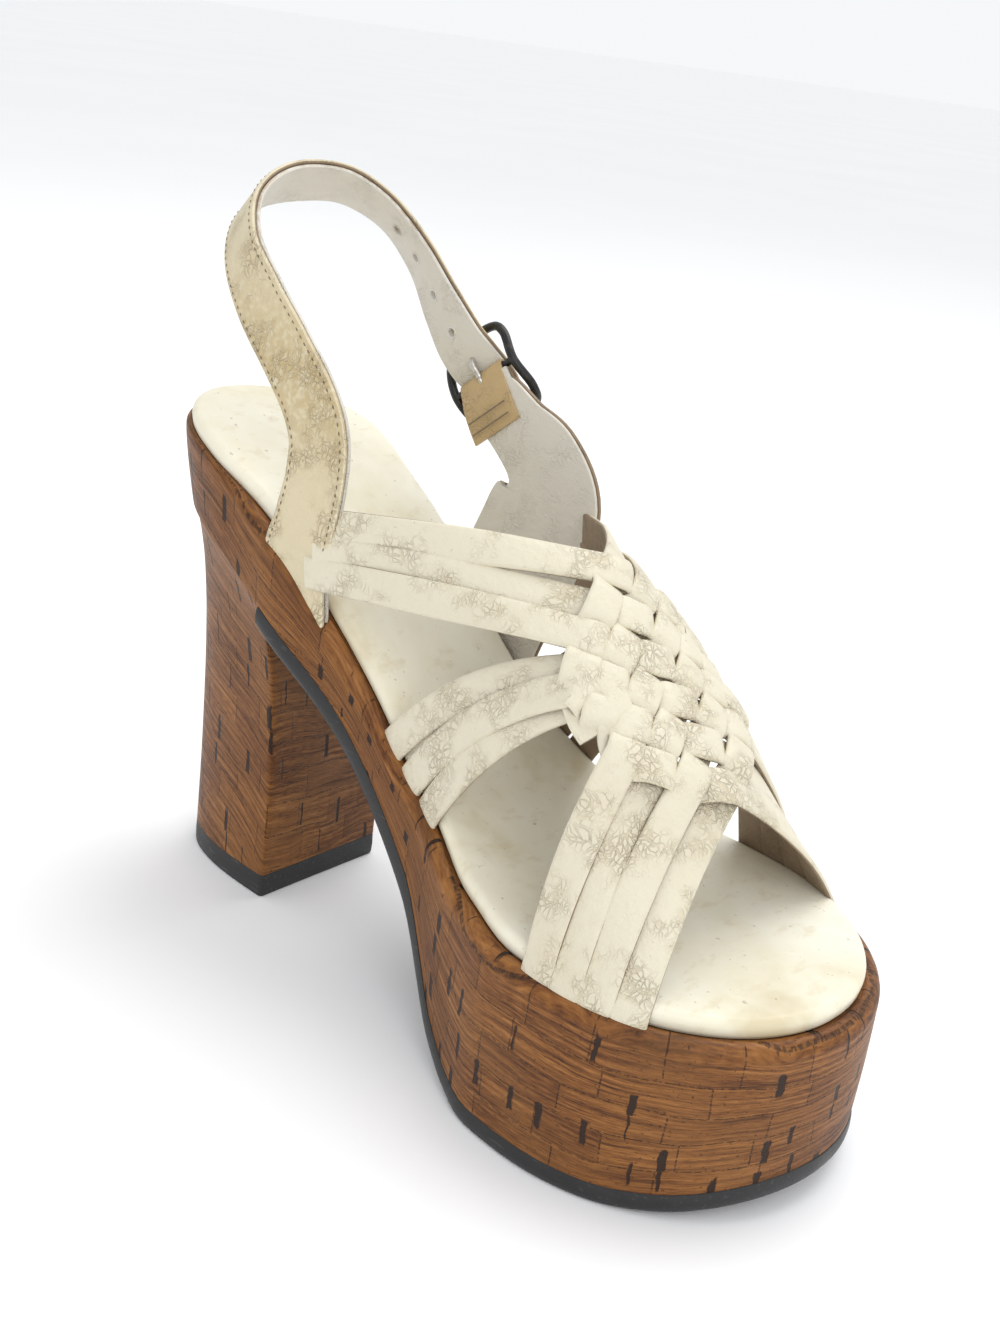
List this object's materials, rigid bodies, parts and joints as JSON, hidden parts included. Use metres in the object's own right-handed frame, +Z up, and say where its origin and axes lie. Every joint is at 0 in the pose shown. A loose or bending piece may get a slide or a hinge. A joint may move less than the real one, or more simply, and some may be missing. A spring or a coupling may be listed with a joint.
{
  "type": "platform sandal",
  "caption": "High-heeled platform sandal with a cork-wrapped block heel and platform, narrow woven leather straps over the instep and a buckled sling strap.",
  "frame": {"origin": "centre of the heel's bottom face, on the floor", "axes": "+X to the toe, +Y to the outer (lateral) side of the left foot, +Z up"},
  "size_m": [0.221, 0.0916, 0.1952],
  "materials": {
    "cork": "sheet cork in strips and blocks with dark seams and slots, lacquered to a low sheen",
    "outsole": "smooth black soling, satin",
    "top_lift": "hard black rubber, scuffed matt",
    "insole": "smooth ivory leather over a soft pad, lightly worn",
    "strap_leather": "cream leather with a crinkled grain, satin",
    "sling_leather": "cream leather, yellowed at the bends, with a smooth pale grey lining",
    "buckle_black": "black enamelled wire frame",
    "prong_steel": "plain steel, slightly worn"
  },
  "bodies": {
    "root": {"outsole": "outsole", "platform": "cork", "heel": "cork", "top_lift": "top_lift", "insole": "insole", "upper": "strap_leather", "sling_strap": "sling_leather", "buckle_strap": "sling_leather", "buckle_frame": "buckle_black", "buckle_prong": "prong_steel"}
  },
  "joints": []
}
